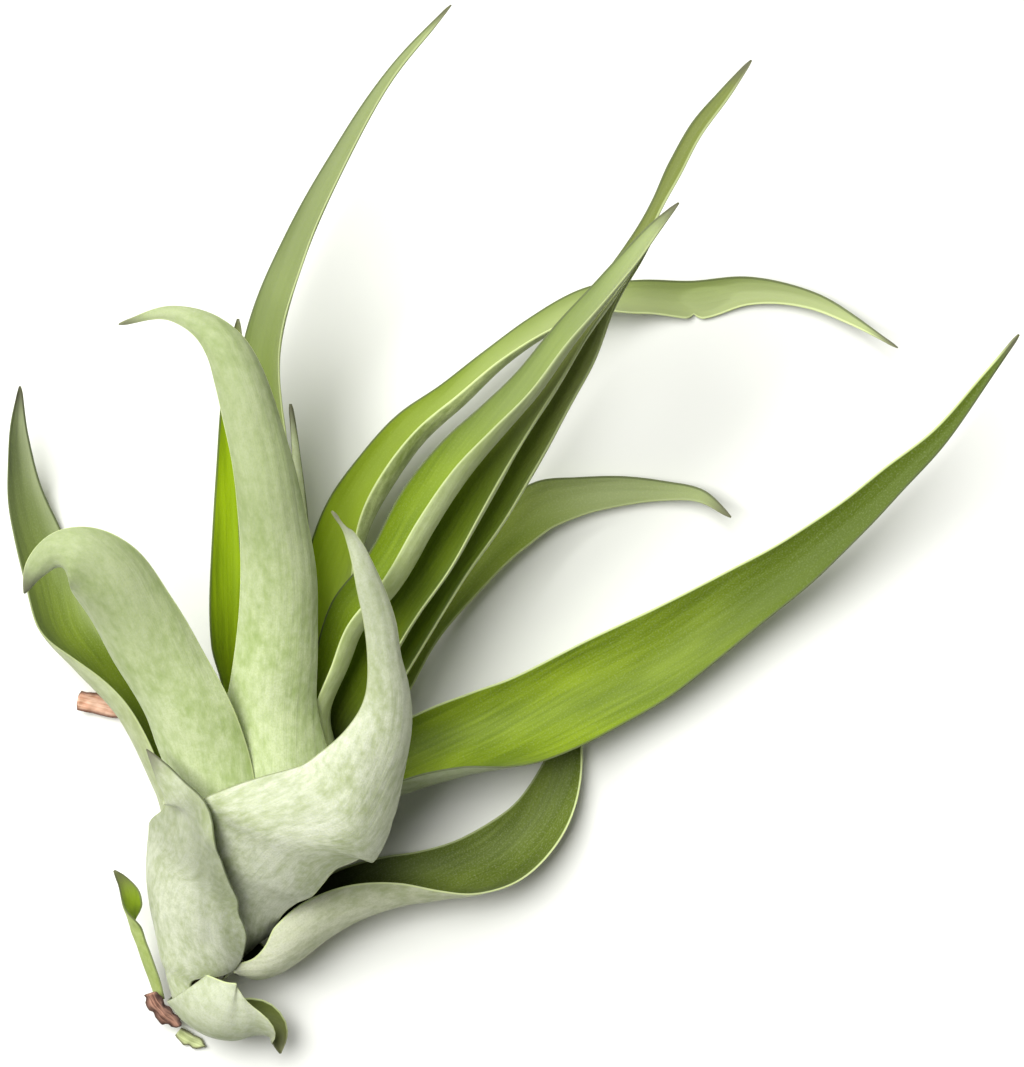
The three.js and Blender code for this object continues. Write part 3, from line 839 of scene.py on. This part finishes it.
def sheet(leaf, look, seed, step, crumple=0.0):
    """The two sides of a leaf as grids of points, what its material reads at each, and the grain's map."""
    along, midrib, outward, travel, half, turn = sections_of(leaf, step)
    length = along[-1]
    at = along[:, None]
    to_tip = length - at
    closing = look.get("tip", TIP_ROUNDING)
    half = half[:, None] * smooth_step(-closing, closing, to_tip)
    turn = turn[:, None]
    columns = max(LEAST_COLUMNS, 2 * round(half.max() / COLUMN_STEP))

    # Places across the leaf run from -1 to 1, closer together towards its margins.
    w = np.linspace(-1, 1, columns + 1)[None, :]
    whole = w * (3 - w**2) / 2
    u = nicked(whole, midrib, along, half, look.get("nicks", []))
    eaten = np.clip(ripples(seed + 4, at, 60 * np.sign(w), 3, 90), 0, 1.4)
    u = u * (1 - look.get("ragged", 0) * eaten)
    arc = u * half

    from_margin = half * (1 - abs(whole))
    body = MARGIN_THICKNESS + (LEAF_THICKNESS - MARGIN_THICKNESS) * (1 - abs(u) ** 2.4)
    rounding = np.clip(from_margin / MARGIN_ROUNDING, 0, 1)
    thinning = TIP_SHARE + (1 - TIP_SHARE) * smooth_step(0, TIP_TAPER, to_tip)
    thickness = body * np.sqrt(1 - (1 - rounding) ** 2) * thinning

    # Inside the rosette a leaf lies close to its neighbours, so its waves start outside. The two margins are
    # far apart in their random field, so that each waves in its own way.
    sheath_end = length * len(leaf["sheath"]) / (len(leaf["sheath"]) + len(leaf["blade"]))
    free = smooth_step(0.6 * sheath_end, sheath_end + 15, at)
    margin_wave = look.get("wave", MARGIN_WAVE) * abs(u) ** 3 * ripples(seed, at, 40 * np.sign(u), 22, 90)
    swells = SWELL_HEIGHT * ripples(seed + 1, at, arc, 26, 9)
    wander = 0.3 * ripples(seed + 2, at, arc, 30, 9)
    ribs = RIB_HEIGHT * np.cos(2 * math.pi * (arc + wander) / RIB_SPACING)
    relief = free * (margin_wave + swells) + ribs * smooth_step(0, 1.5, from_margin)
    relief = relief + crumple * ripples(seed + 3, at, arc, 3.2, 2.2)

    sideways = np.cross(travel, outward)[:, None, :]
    outward = outward[:, None, :]
    radius = half / turn
    angle = (turn * u)[:, :, None]
    direction = np.cos(angle) * outward + np.sin(angle) * sideways
    middle = midrib[:, None, :] - radius[:, :, None] * outward
    middle = middle + (radius + relief)[:, :, None] * direction
    middle, dark = creased(middle, direction, look.get("creases", []))
    back = middle + (thickness / 2)[:, :, None] * direction
    face = middle - (thickness / 2)[:, :, None] * direction

    # What would dip into the floor lies on it.
    press = np.maximum(0, -back[:, :, 2])
    back[:, :, 2] += press
    face[:, :, 2] += press

    shading = shading_of(look, along, half, u)
    facts = {"from_margin": from_margin, "to_tip": to_tip, **shading, "crease": dark}
    facts = {key: np.broadcast_to(values, arc.shape) for key, values in facts.items()}
    place = np.stack([arc, np.broadcast_to(at, arc.shape)], axis=-1)
    return back, face, facts, place


def sheet_mesh(name, back, face, facts, place):
    """One closed mesh. Its two sides share the points of the margins."""
    rows, columns = place.shape[:2]
    back_id = np.arange(rows * columns).reshape(rows, columns)
    face_id = back_id.copy()
    inner = rows * (columns - 2)
    face_id[:, 1:-1] = rows * columns + np.arange(inner).reshape(rows, columns - 2)
    points = np.vstack([back.reshape(-1, 3), face[:, 1:-1].reshape(-1, 3)])

    def both(values):
        return np.concatenate([values.reshape(rows * columns, -1), values[:, 1:-1].reshape(inner, -1)])

    quads = []
    for ids, turned in ((back_id, False), (face_id, True)):
        corners = [ids[:-1, :-1], ids[:-1, 1:], ids[1:, 1:], ids[1:, :-1]]
        if turned:
            corners.reverse()
        quads.append(np.stack(corners, axis=-1).reshape(-1, 4))
    for i, turned in ((0, False), (rows - 1, True)):
        strip = [back_id[i, :-1], face_id[i, :-1], face_id[i, 1:], back_id[i, 1:]]
        if turned:
            strip.reverse()
        quads.append(np.stack(strip, axis=-1))
    faces = [list(dict.fromkeys(quad)) for quad in np.vstack(quads).tolist()]
    faces = [face for face in faces if len(face) > 2]
    mesh = bpy.data.meshes.new(name)
    mesh.from_pydata((points * MM).tolist(), [], faces)
    mesh.shade_smooth()
    side = np.concatenate([np.ones(rows * columns), np.zeros(inner)])
    side[back_id[:, [0, -1]]] = 0.5
    read = {"side": side, **{key: both(grid) for key, grid in facts.items()}}
    for key, values in read.items():
        layer = mesh.attributes.new(key, "FLOAT", "POINT")
        layer.data.foreach_set("value", values.ravel().astype(np.float32))
    corners = np.empty(len(mesh.loops), np.int32)
    mesh.loops.foreach_get("vertex_index", corners)
    grain = mesh.uv_layers.new(name="grain")
    grain.data.foreach_set("uv", (both(place)[corners] / GRAIN_UNIT).ravel().astype(np.float32))
    return mesh


# ---- Materials ----


def srgb(red, green, blue):
    """A colour as it shows on a screen, 0 to 255, for a shader."""

    def linear(value):
        value /= 255
        return value / 12.92 if value <= 0.04045 else ((value + 0.055) / 1.055) ** 2.4

    return (linear(red), linear(green), linear(blue), 1)


# The colours that all leaves share
# Painted shade: the near-black that an inner face darkens to deep in the rosette's hollow
HOLLOW_SHADE = srgb(22, 28, 4)
DULL = srgb(120, 130, 90)
# Painted shade: the colour that the folds darken towards
CREASE_SHADE = srgb(64, 72, 40)
# Painted shade: the dark line of a margin that turns away or lies against another leaf
RIM_SHADE = srgb(50, 60, 26)
PALE_RIM = srgb(206, 218, 156)
DRY_TIP = srgb(86, 84, 66)
FLOOR_COLOURS = ((0.77, 0.775, 0.73, 1), (0.8, 0.805, 0.76, 1))


class Nodes:
    """Adds nodes to a new material, with links from sockets and numbers set straight on theirs."""

    def __init__(self, name):
        self.material = bpy.data.materials.new(name)
        self.material.use_nodes = True
        self.tree = self.material.node_tree
        self.shader = self.tree.nodes["Principled BSDF"]

    def feed(self, socket, value):
        if isinstance(value, bpy.types.NodeSocket):
            self.tree.links.new(value, socket)
        else:
            socket.default_value = value

    def add(self, kind, inputs=(), **settings):
        node = self.tree.nodes.new(kind)
        for key, value in settings.items():
            setattr(node, key, value)
        for key, value in dict(inputs).items():
            self.feed(node.inputs[key], value)
        return node

    def math(self, operation, *values):
        node = self.add("ShaderNodeMath", operation=operation)
        for socket, value in zip(node.inputs, values):
            self.feed(socket, value)
        return node.outputs[0]

    def ramp(self, value, low, high, start=0.0, end=1.0):
        """value from low to high becomes start to end, smoothly, and no more past either."""
        inputs = {"Value": value, "From Min": low, "From Max": high, "To Min": start, "To Max": end}
        return self.add("ShaderNodeMapRange", inputs, interpolation_type="SMOOTHSTEP").outputs["Result"]

    def mix(self, share, first, second):
        node = self.add("ShaderNodeMix", data_type="RGBA")
        self.feed(node.inputs[0], share)
        self.feed(node.inputs[6], first)
        self.feed(node.inputs[7], second)
        return node.outputs[2]

    def noise(self, vector, scale, detail=3.0, roughness=0.55):
        inputs = {"Vector": vector, "Scale": scale, "Detail": detail, "Roughness": roughness}
        return self.add("ShaderNodeTexNoise", inputs).outputs["Fac"]

    def attribute(self, name):
        return self.add("ShaderNodeAttribute", attribute_name=name).outputs["Fac"]

    def grain(self, across, along):
        """The place on the leaf, each way in cycles per millimetre."""
        uv = self.add("ShaderNodeUVMap", uv_map="grain").outputs["UV"]
        scale = (GRAIN_UNIT * across, GRAIN_UNIT * along, 1)
        return self.add("ShaderNodeMapping", {"Vector": uv, "Scale": scale}).outputs["Vector"]

    def bump(self, height, distance, strength=1.0, normal=None):
        inputs = {"Height": height, "Distance": distance, "Strength": strength}
        if normal:
            inputs["Normal"] = normal
        return self.add("ShaderNodeBump", inputs).outputs["Normal"]


def leaf_material(name, face_deep, face_light, back_green, back_pale, bloom, face_faded=None):
    """A leaf: a green inner face, a back under pale scales, a margin and a dark dry tip, with painted shade
    in the rosette's hollow, in creases and along margins that turn away, and painted light on the inner face
    near a margin. bloom is how thickly the scales lie on the inner face."""
    face_deep, face_light = srgb(*face_deep), srgb(*face_light)
    back_green, back_pale = srgb(*back_green), srgb(*back_pale)
    n = Nodes(name)
    side = n.attribute("side")
    veins = n.noise(n.grain(1.5, 0.05), 1.0, 2.0)
    clouds = n.noise(n.grain(0.09, 0.035), 1.0, 2.0)
    mottles = n.noise(n.grain(0.7, 0.4), 1.0, 4.0, 0.6)
    scales = n.noise(n.grain(3.1, 2.3), 1.0, 2.0, 0.7)
    tone = n.math("ADD", n.math("MULTIPLY", veins, 0.3), n.math("MULTIPLY", clouds, 0.7))
    face = n.mix(n.ramp(tone, 0.3, 0.7), face_deep, face_light)
    if face_faded:
        face = n.mix(n.attribute("fade"), face, srgb(*face_faded))
    dusted = n.math("MULTIPLY", n.ramp(scales, 0.45, 0.75), bloom)
    face = n.mix(dusted, face, back_pale)
    # Painted light: the inner face pales towards a margin as if lit there
    face = n.mix(n.attribute("painted_glow"), face, back_pale)
    # Painted shade: deep in the rosette the inner face darkens towards the hollow's colour
    face = n.mix(n.math("MULTIPLY", n.attribute("shade"), 0.93), face, HOLLOW_SHADE)
    cover = n.math("ADD", n.math("MULTIPLY", clouds, 0.6), n.math("MULTIPLY", mottles, 0.4))
    back = n.mix(n.ramp(cover, 0.3, 0.62), back_green, back_pale)
    back = n.mix(n.ramp(veins, 0.35, 0.6, 0.14, 0.0), back, back_green)
    back = n.mix(n.ramp(scales, 0.3, 0.6, 0.3, 0.0), back, back_green)
    colour = n.mix(side, face, back)
    colour = n.mix(n.attribute("dull"), colour, DULL)
    # Painted shade along the creases
    colour = n.mix(n.attribute("crease"), colour, CREASE_SHADE)
    # A margin shows its own pale line, or painted shade as a dark line, as its rim share says
    rim = n.mix(n.attribute("rim"), RIM_SHADE, PALE_RIM)
    margin = n.ramp(n.attribute("from_margin"), 0.16, 0.45, 0.8, 0.0)
    colour = n.mix(margin, colour, rim)
    tip = n.ramp(n.attribute("to_tip"), 0.5, 8.0, 0.85, 0.0)
    colour = n.mix(tip, colour, DRY_TIP)
    n.feed(n.shader.inputs["Base Color"], colour)
    n.feed(n.shader.inputs["Roughness"], n.ramp(scales, 0.3, 0.7, 0.5, 0.75))
    n.shader.inputs["Specular IOR Level"].default_value = 0.22
    n.shader.inputs["Sheen Weight"].default_value = 0.05
    n.shader.inputs["Sheen Roughness"].default_value = 0.5
    n.shader.inputs["Subsurface Weight"].default_value = 0.12
    n.shader.inputs["Subsurface Radius"].default_value = (0.9, 1.0, 0.25)
    n.shader.inputs["Subsurface Scale"].default_value = 0.0006
    relief = n.bump(veins, 0.00012, 0.6)
    relief = n.bump(mottles, 0.0001, 0.5, relief)
    relief = n.bump(scales, 0.00005, 0.6, relief)
    n.feed(n.shader.inputs["Normal"], relief)
    return n.material


def dry_material(name, light, dark, edge, edge_reach):
    """A dead scrap: papery, streaked along its fibres and darker within edge_reach of its margins."""
    n = Nodes(name)
    fibres = n.noise(n.grain(2.2, 0.12), 1.0, 3.0)
    stains = n.noise(n.grain(0.3, 0.2), 1.0, 4.0)
    tone = n.math("ADD", n.math("MULTIPLY", fibres, 0.5), n.math("MULTIPLY", stains, 0.5))
    colour = n.mix(n.ramp(tone, 0.38, 0.6), srgb(*dark), srgb(*light))
    rim = n.math("ADD", n.attribute("from_margin"), n.math("MULTIPLY", stains, 0.8))
    colour = n.mix(n.ramp(rim, 0.4, 0.4 + edge_reach, 0.9, 0.0), colour, srgb(*edge))
    n.feed(n.shader.inputs["Base Color"], colour)
    n.feed(n.shader.inputs["Roughness"], n.ramp(fibres, 0.3, 0.7, 0.7, 0.9))
    n.feed(n.shader.inputs["Normal"], n.bump(fibres, 0.0002, 0.8))
    return n.material


def stem_material(name):
    """The short core: fibrous and straw coloured, with dark brown stains."""
    n = Nodes(name)
    place = n.add("ShaderNodeTexCoord").outputs["Object"]
    stretched = n.add("ShaderNodeMapping", {"Vector": place, "Scale": (900, 60, 900)}).outputs["Vector"]
    fibres = n.noise(stretched, 1.0)
    stains = n.noise(place, 180.0)
    colour = n.mix(n.ramp(fibres, 0.35, 0.65), srgb(96, 72, 44), srgb(168, 156, 108))
    colour = n.mix(n.ramp(stains, 0.5, 0.7), colour, srgb(70, 46, 28))
    n.feed(n.shader.inputs["Base Color"], colour)
    n.feed(n.shader.inputs["Roughness"], n.ramp(fibres, 0.3, 0.7, 0.75, 0.95))
    n.feed(n.shader.inputs["Normal"], n.bump(fibres, 0.0003, 0.8))
    return n.material


def floor_material():
    """A matt white surface with the faintest clouds."""
    n = Nodes("floor_white")
    place = n.add("ShaderNodeTexCoord").outputs["Object"]
    n.feed(n.shader.inputs["Base Color"], n.mix(n.noise(place, 9.0), *FLOOR_COLOURS))
    n.shader.inputs["Roughness"].default_value = 0.75
    return n.material


# ---- The pieces ----


def add_object(name, data):
    added = bpy.data.objects.new(name, data)
    bpy.context.scene.collection.objects.link(added)
    return added


def add_piece(mesh, node, material):
    mesh.materials.append(material)
    piece = add_object(mesh.name, mesh)
    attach(piece, "root")
    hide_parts(node)


def stem_mesh(name, sides=40, rings=90):
    """A ribbed core. Its foot is torn into uneven fibres."""
    fibres = np.random.default_rng(STEM_SEED).uniform(0, LONGEST_FIBRE, sides)
    heights = np.linspace(0, STEM_LENGTH, rings + 1)
    points = []
    for i, height in enumerate(heights):
        centre, tangent = stem_point(height)
        taper = max(0, 2 * i / rings - 1) ** 2
        radius = STEM_RADIUS - (STEM_RADIUS - STEM_TIP_RADIUS) * taper
        for k in range(sides):
            angle = 360 * k / sides
            groove = STEM_RIB_DEPTH * math.cos(STEM_RIBS * math.radians(angle))
            ribbed = radius - STEM_RIB_DEPTH - groove - STEM_ROUGHNESS * math.sin(height + 3 * k)
            torn = fibres[k] * max(0, 1 - height / TORN_LENGTH)
            points.append(centre + direction_at(angle, tangent) * ribbed + tangent * torn)
    faces = []
    for i in range(rings):
        for k in range(sides):
            after = (k + 1) % sides
            faces.append((i * sides + k, i * sides + after, (i + 1) * sides + after, (i + 1) * sides + k))
    for height, ring in ((FOOT_HOLLOW, 0), (STEM_LENGTH, rings)):
        points.append(stem_point(height)[0])
        middle = len(points) - 1
        for k in range(sides):
            ends = (ring * sides + k, ring * sides + (k + 1) % sides)
            faces.append((middle, *(reversed(ends) if ring == 0 else ends)))
    mesh = bpy.data.meshes.new(name)
    mesh.from_pydata((np.array(points) * MM).tolist(), [], faces)
    mesh.shade_smooth()
    return mesh


def leaf_materials():
    """The leaves' colours: deep and light inner face, green and pale back, then the bloom, then the colour
    that the inner face fades to, where it does."""
    colours = {
        "bright": [(122, 148, 0), (148, 174, 4), (136, 154, 62), (184, 198, 128), 0.06],
        "tall": [(98, 120, 0), (122, 144, 6), (136, 154, 62), (164, 178, 108), 0.06, (116, 128, 74)],
        "bundle": [(92, 114, 0), (120, 142, 10), (160, 176, 104), (188, 200, 146), 0.1, (104, 114, 34)],
        # Painted light: this inner face is made lighter than its own green, to make up for facing away from
        # the lamp
        "arching": [(160, 188, 0), (176, 202, 8), (112, 130, 48), (188, 200, 138), 0.08, (120, 140, 26)],
        "fresh": [(92, 114, 0), (136, 158, 28), (150, 164, 112), (190, 198, 164), 0.14, (78, 96, 6)],
        "olive": [(84, 102, 18), (112, 128, 44), (146, 156, 108), (182, 190, 152), 0.18],
        "far": [(88, 108, 4), (120, 140, 22), (146, 156, 108), (182, 190, 152), 0.12, (110, 122, 74)],
        "low": [(112, 132, 30), (140, 156, 60), (146, 156, 108), (190, 198, 156), 0.18, (144, 156, 102)],
        "wall": [(72, 88, 10), (104, 120, 40), (158, 168, 120), (212, 215, 188), 0.14],
        "pale": [(104, 122, 6), (140, 158, 30), (150, 161, 114), (207, 211, 189), 0.1],
        "tinted": [(104, 122, 6), (140, 158, 30), (146, 165, 98), (196, 206, 162), 0.1],
    }
    return {key: leaf_material("leaf_" + key, *look) for key, look in colours.items()}


def scrap_materials():
    """The scraps' colours: light, dark and at the margins, and how far in from them that one reaches."""
    colours = {
        "tan": [(222, 184, 160), (180, 128, 100), (78, 42, 28), 0.9],
        "brown": [(196, 148, 124), (80, 42, 28), (40, 20, 12), 1.8],
        "green": [(198, 206, 152), (150, 160, 104), (66, 62, 36), 0.6],
    }
    return {key: dry_material("dry_" + key, *look) for key, look in colours.items()}


def add_sheets(sheets, ending, materials, first_seed, step, crumple=0.0):
    """A piece for each of the leaves or scraps. It has its node's name, with an ending."""
    for i, leaf in enumerate(sheets):
        node = leaf["name"]
        look = LOOKS[node]
        grown = sheet(leaf, look, first_seed + SEED_STEP * i, step, crumple)
        add_piece(sheet_mesh(node + ending, *grown), node, materials[look["material"]])


def add_floor():
    signs = ((-1, -1), (1, -1), (1, 1), (-1, 1))
    corners = [(x * FLOOR_HALF, y * FLOOR_HALF, FLOOR_HEIGHT) for x, y in signs]
    mesh = bpy.data.meshes.new("floor")
    mesh.from_pydata(corners, [], [(0, 1, 2, 3)])
    mesh.materials.append(floor_material())
    add_object("floor", mesh)


def add_lights():
    """One large lamp high at the upper left, turned to the plant, and a faint even light from all round."""
    light = bpy.data.lights.new("key", "AREA")
    light.size = KEY_SIZE
    light.energy = KEY_POWER
    lamp = add_object("key", light)
    lamp.location = KEY_AT
    lamp.rotation_euler = (Vector(PLANT_MIDDLE) - lamp.location).to_track_quat("-Z", "Y").to_euler()
    lamp.visible_camera = False
    world = bpy.data.worlds.new("studio")
    world.use_nodes = True
    world.node_tree.nodes["Background"].inputs["Color"].default_value = (1, 1, 1, 1)
    world.node_tree.nodes["Background"].inputs["Strength"].default_value = WORLD_STRENGTH
    bpy.context.scene.world = world


def add_camera():
    data = bpy.data.cameras.new("camera")
    data.sensor_fit = "VERTICAL"
    data.sensor_height = SENSOR
    data.lens = SENSOR * CAMERA_AT[2] / (IMAGE_HEIGHT_PX * MM_PER_PX)
    data.clip_end = CAMERA_REACH
    camera = add_object("camera", data)
    camera.location = [value * MM for value in CAMERA_AT]
    bpy.context.scene.camera = camera


add_sheets(LEAVES, "_grown", leaf_materials(), 0, ROW_STEP)
add_sheets(SCRAPS, "_dry", scrap_materials(), FIRST_SCRAP_SEED, SCRAP_ROW_STEP, SCRAP_CRUMPLE)
add_piece(stem_mesh("stem_core"), "stem", stem_material("stem_fibre"))
add_floor()
add_lights()
add_camera()
bpy.context.scene.view_settings.view_transform = "Standard"
